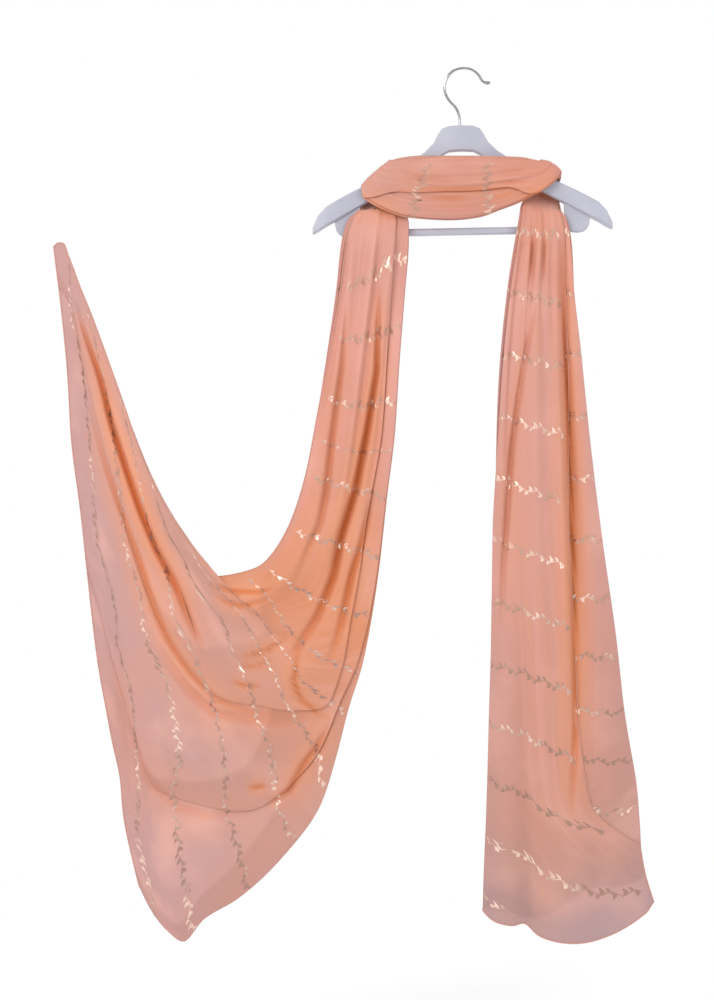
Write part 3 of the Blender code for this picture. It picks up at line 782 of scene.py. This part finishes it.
def right_end_risen(places, across, turn_columns):
    """How far each fold of the right end has crept up, and its hem's waves with it, at each point."""
    lowered = np.clip((places - RIGHT_START - RIGHT_CREEP_FROM) / (RIGHT_LENGTH - RIGHT_CREEP_FROM), 0, 1)
    crept = np.interp(np.arange(across.shape[1]), turn_columns, RIGHT_CREEP)
    by_fold = bell(across, HEM_FOLD_WIDTH)
    back_wave = waved(BACK_HEM_WAVES, across) * (1 - by_fold) + waved(FRONT_HEM_WAVES, 0.0) * by_fold
    in_front = np.arange(across.shape[1]) < turn_columns[1]
    wave = np.where(in_front, waved(FRONT_HEM_WAVES, across), back_wave)
    return (lowered**2)[:, None] * (crept + wave)


def stole_grid():
    """The cloth's points, with where each lies on the flat cloth, the shade painted in and round its creases,
    and how far it is drawn.
    """
    table = stole_sections()
    places = row_places()
    sections = smooth_between(table[:, 0], table[:, 1:], places)
    turns = smooth_between(*stole_turns(), places)
    start_x, start_z, end_x, end_z, middle, lean, inward, even_bow, low_bow, pitch = sections.T[:, :, None]
    run_x, run_z = end_x - start_x, end_z - start_z
    chord = np.hypot(run_x, run_z)
    across, depth, turn_columns = zigzags(places, turns, chord[:, 0], pitch[:, 0])

    bow = even_bow * across * (1 - across) / EVEN_BOW_PEAK
    bow += low_bow * across * (1 - across) ** 2 / LOW_BOW_PEAK
    x = start_x + across * run_x + bow * run_z / chord
    z = start_z + across * run_z - bow * run_x / chord
    x += left_hem_waved(places, z)
    inward = np.radians(inward)

    hanging = np.abs(np.cos(inward)) ** TURN_FADE
    # creased also gives the shade painted in and round the creases
    pushed, crease_shade, crease_halo_shade = creased(x, z, hanging)
    pushed += hanging * broad_relief(places, across)
    calm = 1 - BAR_CALM * np.exp(-(((z - BAR_HEIGHT) / BAR_CALM_HEIGHT) ** 4))
    inside = (LAYERS - 1) / 2 * pitch - depth - calm * gathered(places, across, chord)
    y = middle + lean * across + calm * pushed + inside * np.cos(inward)
    z += inside * np.sin(inward) + right_end_risen(places, across, turn_columns)

    points = np.stack([x, y, z], axis=2) * MM
    lengths = np.linalg.norm(np.diff(points, axis=1), axis=2)
    v = np.concatenate([np.zeros((len(places), 1)), np.cumsum(lengths, axis=1)], axis=1)
    v = v / v[:, -1:] * CLOTH_WIDTH * MM
    u = np.repeat(places[:, None] * MM, v.shape[1], axis=1)
    return points, u, v, (crease_shade, crease_halo_shade), drawn_along(points, u, v, turn_columns[1])


def drawn_along(points, u, v, front_turn):
    """How far along its length the cloth is drawn at each point, in metres."""
    x, z = points[:, :, 0] / MM, points[:, :, 2] / MM
    total = np.full(x.shape, UNDRAWN_WEIGHT)
    weighted = np.zeros(x.shape)
    for place_x, place_z, drawn in DRAWN:
        weight = np.exp(-((x - place_x) ** 2 + (z - place_z) ** 2) / DRAW_REACH**2)
        total += weight
        weighted += weight * drawn
    drawn = weighted / total
    rows = u[:, 0] / MM
    table = np.array(RIGHT_DRAWN, float)
    share = np.clip(1 - v / v[:, front_turn, None], 0, 1)
    right = np.interp(rows, table[:, 0], table[:, 1])[:, None]
    right = right + np.interp(rows, table[:, 0], table[:, 2])[:, None] * share
    in_right = np.clip((rows - RIGHT_START) / RIGHT_DRAWN_WITHIN, 0, 1)[:, None]
    return (drawn * (1 - in_right) + right * in_right) * MM


def grid_normals(points):
    normal = np.cross(np.gradient(points, axis=0), np.gradient(points, axis=1))
    return normal / np.maximum(np.linalg.norm(normal, axis=2, keepdims=True), 1e-12)


def layers_at(points, faces):
    """How many layers of cloth lie along Y at each point, counting its own."""
    tree = BVHTree.FromPolygons(points.tolist(), faces.tolist())
    counts = np.ones(len(points))
    for index, point in enumerate(points):
        for direction in (Vector((0.0, 1.0, 0.0)), Vector((0.0, -1.0, 0.0))):
            hit = Vector(point)
            for _ in range(LAYERS):
                hit = tree.ray_cast(hit + direction * RAY_STEP, direction, RAY_REACH)[0]
                if hit is None:
                    break
                counts[index] += 1
    return counts


def blurred(values):
    """The grid's values with their steps softened."""
    for _ in range(BLUR_PASSES):
        for axis in (0, 1):
            ahead = np.take(values, [*range(1, values.shape[axis]), -1], axis=axis)
            behind = np.take(values, [0, *range(values.shape[axis] - 1)], axis=axis)
            values = (ahead + 2 * values + behind) / 4
    return values


def grid_faces(rows, columns):
    i, j = np.meshgrid(np.arange(rows - 1), np.arange(columns - 1), indexing="ij")
    a = (i * columns + j).ravel()
    b = a + columns
    return np.column_stack([a, b, b + 1, a + 1])


def placed(name, data, location=(0.0, 0.0, 0.0)):
    """A new object in the scene."""
    made = bpy.data.objects.new(name, data)
    made.location = location
    bpy.context.scene.collection.objects.link(made)
    return made


def mesh_object(name, points, faces, finish):
    mesh = bpy.data.meshes.new(name)
    mesh.from_pydata([tuple(p) for p in points], [], [tuple(f) for f in faces])
    mesh.shade_smooth()
    mesh.materials.append(finish)
    return placed(name, mesh)


def add_uv(mesh, name, per_vertex):
    layer = mesh.uv_layers.new(name=name)
    corners = np.empty(len(mesh.loops), np.int32)
    mesh.loops.foreach_get("vertex_index", corners)
    layer.data.foreach_set("uv", per_vertex[corners].astype(np.float32).ravel())


def add_value(mesh, name, per_vertex):
    attribute = mesh.attributes.new(name, "FLOAT", "POINT")
    attribute.data.foreach_set("value", per_vertex.astype(np.float32).ravel())


class Nodes:
    """A short way to build a material's nodes."""

    def __init__(self, name):
        self.material = bpy.data.materials.new(name)
        self.material.use_nodes = True
        self.tree = self.material.node_tree
        self.shader = self.tree.nodes["Principled BSDF"]
        self.output = self.tree.nodes["Material Output"]

    def put(self, value, target):
        """Feeds an input with a value or with another node's socket."""
        if isinstance(value, bpy.types.NodeSocket):
            self.tree.links.new(value, target)
        else:
            target.default_value = value

    def set(self, **values):
        """Feeds the shader's inputs."""
        for key, value in values.items():
            self.put(value, self.shader.inputs[key.replace("_", " ")])

    def add(self, kind, **values):
        """A new node, with its inputs fed and its settings made."""
        node = self.tree.nodes.new(kind)
        for key, value in values.items():
            if key in node.inputs:
                self.put(value, node.inputs[key])
            else:
                setattr(node, key, value)
        return node

    def place(self):
        """Where each point lies on the object."""
        return self.add("ShaderNodeTexCoord").outputs["Object"]

    def cloth_place(self):
        """Where each point lies on the flat cloth, then its u and its v alone, in metres."""
        place = self.add("ShaderNodeUVMap", uv_map="cloth").outputs[0]
        parts = self.add("ShaderNodeSeparateXYZ", Vector=place).outputs
        return place, parts["X"], parts["Y"]

    def attribute(self, name):
        return self.add("ShaderNodeAttribute", attribute_name=name).outputs["Fac"]

    def noise(self, **values):
        return self.add("ShaderNodeTexNoise", **values).outputs["Fac"]

    def computed(self, operation, first, second):
        node = self.add("ShaderNodeMath", operation=operation)
        self.put(first, node.inputs[0])
        self.put(second, node.inputs[1])
        return node.outputs[0]

    def ranged(self, value, low, high, to_low=0.0, to_high=1.0):
        """The value's place between low and high, carried over to the second range."""
        limits = {"From Min": low, "From Max": high, "To Min": to_low, "To Max": to_high}
        return self.add("ShaderNodeMapRange", Value=value, **limits).outputs["Result"]

    def mixed(self, factor, first, second, blend="MIX"):
        """A colour mix: each side is a colour or a socket."""
        node = self.add("ShaderNodeMix", data_type="RGBA", blend_type=blend)
        for index, value in ((0, factor), (6, first), (7, second)):
            self.put(value, node.inputs[index])
        return node.outputs[2]

    def toned(self, u, table):
        """The colours of a table, blended along the stole."""
        node = self.add("ShaderNodeValToRGB", Fac=self.ranged(u, 0.0, WHOLE_LENGTH * MM))
        elements = node.color_ramp.elements
        for along, *_colour in table[1:-1]:
            elements.new(along / WHOLE_LENGTH)
        for element, (_along, *colour) in zip(elements, table):
            element.color = (*colour, 1.0)
        return node.outputs["Color"]

    def bump(self, height, strength):
        """Roughens the surface by the height."""
        node = self.add("ShaderNodeBump", Strength=strength, Distance=BUMP_HEIGHT, Height=height)
        self.set(Normal=node.outputs[0])


def georgette_material():
    nodes = Nodes("georgette")
    place, u, v = nodes.cloth_place()
    layers = nodes.attribute("layers")
    stretched = nodes.add("ShaderNodeMapping", Vector=place, Scale=(4.0, 90.0, 1.0)).outputs[0]
    values = {
        "mottle": nodes.noise(Vector=place, Scale=7.0, Detail=3.0),
        "streak": nodes.noise(Vector=stretched, Scale=1.0),
        # the shade painted in and round the creases
        "crease_halo_shade": nodes.attribute("crease_halo_shade"),
        "crease": nodes.attribute("crease"),
    }
    # painted shade on the right end's layers behind its front one
    in_right_end = nodes.ranged(u, *BEHIND_FROM_U, 0.0, 0.25)
    behind = nodes.computed("MULTIPLY", in_right_end, nodes.ranged(v, *BEHIND_FROM_V))
    most_gathered = nodes.ranged(layers, 3.0, 6.0)
    # the tones along the stole carry some painted shade
    colour = nodes.mixed(behind, nodes.toned(u, TONES_AND_SHADE), BEHIND_PAINTED_SHADE)
    colour = nodes.mixed(nodes.ranged(layers, 5.0, 1.0), colour, THIN_TINT, "MULTIPLY")
    for name, start, end, share, *tint in TINTS:
        shown = nodes.ranged(values[name], start, end, 0.0, share)
        if name == "streak":
            shown = nodes.computed("MULTIPLY", shown, most_gathered)
        colour = nodes.mixed(shown, colour, (*tint, 1.0))
    grain = nodes.noise(Vector=place, Scale=1300.0, Roughness=0.6)
    slub = nodes.noise(Vector=place, Scale=260.0)
    nodes.bump(nodes.computed("ADD", grain, slub), 0.35)
    nodes.set(Base_Color=colour, Roughness=nodes.ranged(grain, 0.3, 0.7, 0.68, 0.82), Specular_IOR_Level=0.22)
    nodes.set(Sheen_Weight=0.25, Sheen_Roughness=0.45, Sheen_Tint=(1.0, 0.86, 0.82, 1.0))
    glow = nodes.add("ShaderNodeBsdfTranslucent", Color=colour)
    blend = nodes.add("ShaderNodeMixShader", Fac=0.16)
    nodes.put(nodes.shader.outputs[0], blend.inputs[1])
    nodes.put(glow.outputs[0], blend.inputs[2])
    nodes.put(blend.outputs[0], nodes.output.inputs["Surface"])
    return nodes.material


def hem_material():
    nodes = Nodes("rolled_hem")
    soft = nodes.noise(Scale=300.0)
    dark, pale = (0.46, 0.22, 0.16, 1.0), (0.60, 0.31, 0.25, 1.0)
    nodes.bump(soft, 0.4)
    nodes.set(Base_Color=nodes.mixed(nodes.ranged(soft, 0.4, 0.65), dark, pale))
    nodes.set(Roughness=0.75, Specular_IOR_Level=0.25, Sheen_Weight=0.2)
    return nodes.material


def foil_material():
    nodes = Nodes("gold_foil")
    place, u, _v = nodes.cloth_place()
    foil_patches = nodes.noise(Vector=place, Scale=38.0, Detail=3.0, Roughness=0.6)
    stretches = nodes.noise(Vector=place, Scale=9.0, Detail=1.0)
    kept = nodes.ranged(nodes.computed("ADD", foil_patches, stretches), 0.93, 1.16)
    nodes.set(Base_Color=nodes.mixed(kept, nodes.toned(u, DULL_FOIL), BRIGHT_FOIL))
    nodes.set(Roughness=nodes.ranged(foil_patches, 0.4, 0.6, 0.5, 0.28), Metallic=0.75)
    return nodes.material


def plastic_material():
    nodes = Nodes("hanger_plastic")
    place = nodes.place()
    cloudy = nodes.noise(Vector=place, Scale=14.0, Detail=3.0)
    grain = nodes.noise(Vector=place, Scale=900.0)
    dark, pale = (0.37, 0.37, 0.44, 1.0), (0.43, 0.43, 0.50, 1.0)
    nodes.bump(grain, 0.12)
    nodes.set(Base_Color=nodes.mixed(nodes.ranged(cloudy, 0.35, 0.65), dark, pale))
    nodes.set(Roughness=nodes.ranged(grain, 0.3, 0.7, 0.30, 0.42), Specular_IOR_Level=0.5)
    return nodes.material


def wire_material():
    nodes = Nodes("hook_steel")
    polish = nodes.noise(Vector=nodes.place(), Scale=420.0, Detail=3.0)
    dark, pale = (0.24, 0.24, 0.26, 1.0), (0.38, 0.38, 0.40, 1.0)
    nodes.set(Base_Color=nodes.mixed(nodes.ranged(polish, 0.35, 0.65), dark, pale))
    nodes.set(Roughness=nodes.ranged(polish, 0.3, 0.7, 0.16, 0.30), Metallic=1.0)
    return nodes.material


def make_stole(finish):
    points, u, v, (crease_shade, crease_halo_shade), drawn = stole_grid()
    faces = grid_faces(*u.shape)
    vertices = points.reshape(-1, 3)
    layers = blurred(layers_at(vertices, faces).reshape(u.shape))
    stole = mesh_object("stole", vertices, faces, finish)
    add_uv(stole.data, "cloth", np.column_stack([u.ravel(), v.ravel()]))
    # the shade painted in and round the creases is stored as two of these values
    for name, values in (("crease", crease_shade), ("crease_halo_shade", crease_halo_shade), ("layers", layers)):
        add_value(stole.data, name, values)
    return stole, Cloth(points, u, v, drawn)


def tube_along(path, normals, radius, sides):
    """Points and faces of a round cord along a path, its sections squared to the normals given."""
    tangent = np.gradient(path, axis=0)
    tangent /= np.linalg.norm(tangent, axis=1, keepdims=True)
    up = normals - np.sum(normals * tangent, axis=1, keepdims=True) * tangent
    up /= np.linalg.norm(up, axis=1, keepdims=True)
    out = np.cross(tangent, up)
    turn = np.linspace(0, 2 * math.pi, sides, endpoint=False)
    ring = radius * (np.cos(turn)[None, :, None] * up[:, None] + np.sin(turn)[None, :, None] * out[:, None])
    points = (path[:, None] + ring).reshape(-1, 3)
    last = len(points) - sides
    faces = [tuple(range(sides)), tuple(range(last, len(points)))]
    for start in range(0, last, sides):
        for side in range(sides):
            a = start + side
            b = start + (side + 1) % sides
            faces.append((a, b, b + sides, a + sides))
    return points, faces


def make_hem(points, finish):
    """The rolled hem round the cloth's four sides."""
    normals = grid_normals(points)
    all_points, all_faces = [], []
    for edge in (np.s_[0], np.s_[-1], np.s_[:, 0], np.s_[:, -1]):
        offset = sum(len(part) for part in all_points)
        some_points, some_faces = tube_along(points[edge], normals[edge], HEM_RADIUS * MM, HEM_SIDES)
        all_points.append(some_points)
        all_faces += [tuple(index + offset for index in face) for face in some_faces]
    return mesh_object("rolled_hem", np.concatenate(all_points), all_faces, finish)


class Cloth:
    """Finds points on the laid-out cloth from their place on the flat cut."""

    def __init__(self, points, u, v, drawn):
        self.points = points
        self.values = np.concatenate([points, grid_normals(points), drawn[:, :, None]], axis=2)
        self.rows = u[:, 0]
        self.v = v

    def on_row(self, row, v):
        count = self.values.shape[2]
        return np.column_stack([np.interp(v, self.v[row], self.values[row, :, k]) for k in range(count)])

    def values_at(self, u, v):
        """Points, normals and draw at each (u, v) of the grid's own rows, in metres."""
        u = np.clip(u, 0, self.rows[-1])
        row = np.clip(np.searchsorted(self.rows, u, side="right") - 1, 0, len(self.rows) - 2)
        part = (u - self.rows[row]) / (self.rows[row + 1] - self.rows[row])
        made = np.empty((len(u), self.values.shape[2]))
        for index in np.unique(row):
            here = row == index
            first = self.on_row(index, v[here])
            second = self.on_row(index + 1, v[here])
            made[here] = first + (second - first) * part[here][:, None]
        return made

    def at(self, u, v):
        """Points and normals at each (u, v) of the flat cut, and the u to which the drape has drawn it."""
        drawn = np.zeros(len(u))
        for _ in range(DRAW_STEPS):
            made = self.values_at(u + drawn, v)
            drawn += (made[:, 6] - drawn) * DRAW_EASE
        made = self.values_at(u + drawn, v)
        normal = made[:, 3:6]
        normal /= np.maximum(np.linalg.norm(normal, axis=1, keepdims=True), 1e-12)
        return made[:, 0:3], normal, u + drawn


def vine_outlines():
    """One vine on the flat cloth: flat polygons of (du, v) millimetres from the vine's own line."""
    first, last = VINE_INSET, CLOTH_WIDTH - VINE_INSET
    steps = int((last - first) / STEM_STEP)
    places = np.linspace(first, last, steps + 1)
    wave = STEM_SWAY * np.sin(2 * math.pi * places / VINE_REPEAT)
    stem = list(zip(wave, places))
    polygons = []
    half = STEM_WIDTH / 2
    for (u0, v0), (u1, v1) in zip(stem[:-1], stem[1:]):
        polygons.append([(u0 - half, v0), (u1 - half, v1), (u1 + half, v1), (u0 + half, v0)])
    for turn in range(int((last - first) / VINE_REPEAT)):
        for share, side, length, width, angle in VINE_LEAVES:
            root_v = first + (turn + share) * VINE_REPEAT
            root_u = STEM_SWAY * math.sin(2 * math.pi * root_v / VINE_REPEAT)
            along_u = side * math.sin(math.radians(angle))
            along_v = math.cos(math.radians(angle))
            polygons.append([
                (
                    root_u + length * reach * along_u - width * spread * along_v * side,
                    root_v + length * reach * along_v + width * spread * along_u * side,
                )
                for reach, spread in LEAF_OUTLINE
            ])
    return polygons


def make_vines(cloth, finish):
    """The foil vines across the cloth, printed on both of its faces."""
    outlines = vine_outlines()
    flat = np.array([corner for polygon in outlines for corner in polygon])
    sizes = [len(polygon) for polygon in outlines]
    starts = np.cumsum([0] + sizes[:-1])
    lines = np.linspace(VINE_FIRST, WHOLE_LENGTH - VINE_FIRST, VINE_COUNT)
    all_points, all_faces, all_uv = [], [], []
    offset = 0
    for line in lines:
        u = (line + flat[:, 0]) * MM
        v = flat[:, 1] * MM
        place, normal, drawn_to = cloth.at(u, v)
        on_cloth = (drawn_to > VINE_INSET * MM) & (drawn_to < (WHOLE_LENGTH - VINE_INSET) * MM)
        kept = [(start, size) for start, size in zip(starts, sizes) if on_cloth[start : start + size].all()]
        for face_side in (1, -1):
            all_points.append(place + normal * face_side * FOIL_LIFT * MM)
            all_uv.append(np.column_stack([u, v]))
            for start, size in kept:
                face = tuple(range(offset + start, offset + start + size))
                all_faces.append(face if face_side == 1 else face[::-1])
            offset += len(flat)
    vines = mesh_object("foil_vines", np.concatenate(all_points), all_faces, finish)
    add_uv(vines.data, "cloth", np.concatenate(all_uv))
    return vines


def make_camera_and_light():
    camera = bpy.data.cameras.new("camera")
    camera.sensor_fit = "VERTICAL"
    camera.sensor_height = SENSOR_HEIGHT
    camera.lens = SENSOR_HEIGHT * CAMERA_DISTANCE / FRAME_HEIGHT
    holder = placed("camera", camera, (FRAME_CENTRE[0], -CAMERA_DISTANCE, FRAME_CENTRE[1]))
    holder.rotation_euler = (math.radians(90), 0, 0)
    bpy.context.scene.camera = holder
    for name, x, y, z, size, watts in LIGHTS:
        lamp = bpy.data.lights.new(name, "AREA")
        lamp.size = size
        lamp.energy = watts
        sight = Vector(LIGHTS_AIM) - Vector((x, y, z))
        placed(name, lamp, (x, y, z)).rotation_euler = sight.to_track_quat("-Z", "Y").to_euler()
    world = bpy.data.worlds.new("studio")
    bpy.context.scene.world = world
    world.use_nodes = True
    background = world.node_tree.nodes["Background"]
    background.inputs["Color"].default_value = (1.0, 1.0, 1.0, 1.0)
    background.inputs["Strength"].default_value = 1.0
    bpy.context.scene.view_settings.view_transform = "Standard"


def make_floor():
    nodes = Nodes("studio_floor")
    nodes.set(Base_Color=(0.86, 0.86, 0.86, 1.0), Roughness=0.9)
    turn = np.linspace(0, 2 * math.pi, FLOOR_SIDES, endpoint=False)
    x = LIGHTS_AIM[0] + FLOOR_RADIUS * np.cos(turn)
    y = FLOOR_RADIUS * np.sin(turn)
    rim = np.column_stack([x, y, np.full(FLOOR_SIDES, FLOOR_HEIGHT)])
    floor = mesh_object("floor", rim, [tuple(range(FLOOR_SIDES))], nodes.material)


def main():
    make_camera_and_light()
    make_floor()
    plastic = plastic_material()
    for node, finish in (("hanger_body", plastic), ("hanger_bar", plastic), ("hook_wire", wire_material())):
        for slot in bpy.data.objects[node].material_slots:
            slot.material = finish
    stole, cloth = make_stole(georgette_material())
    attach(stole, "root")
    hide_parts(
        "stole_left_end", "stole_left_wrap", "stole_swag", "stole_right_wrap", "stole_right_end"
    )
    hem = make_hem(cloth.points, hem_material())
    vines = make_vines(cloth, foil_material())
    for piece in (hem, vines):
        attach(piece, "root")


main()
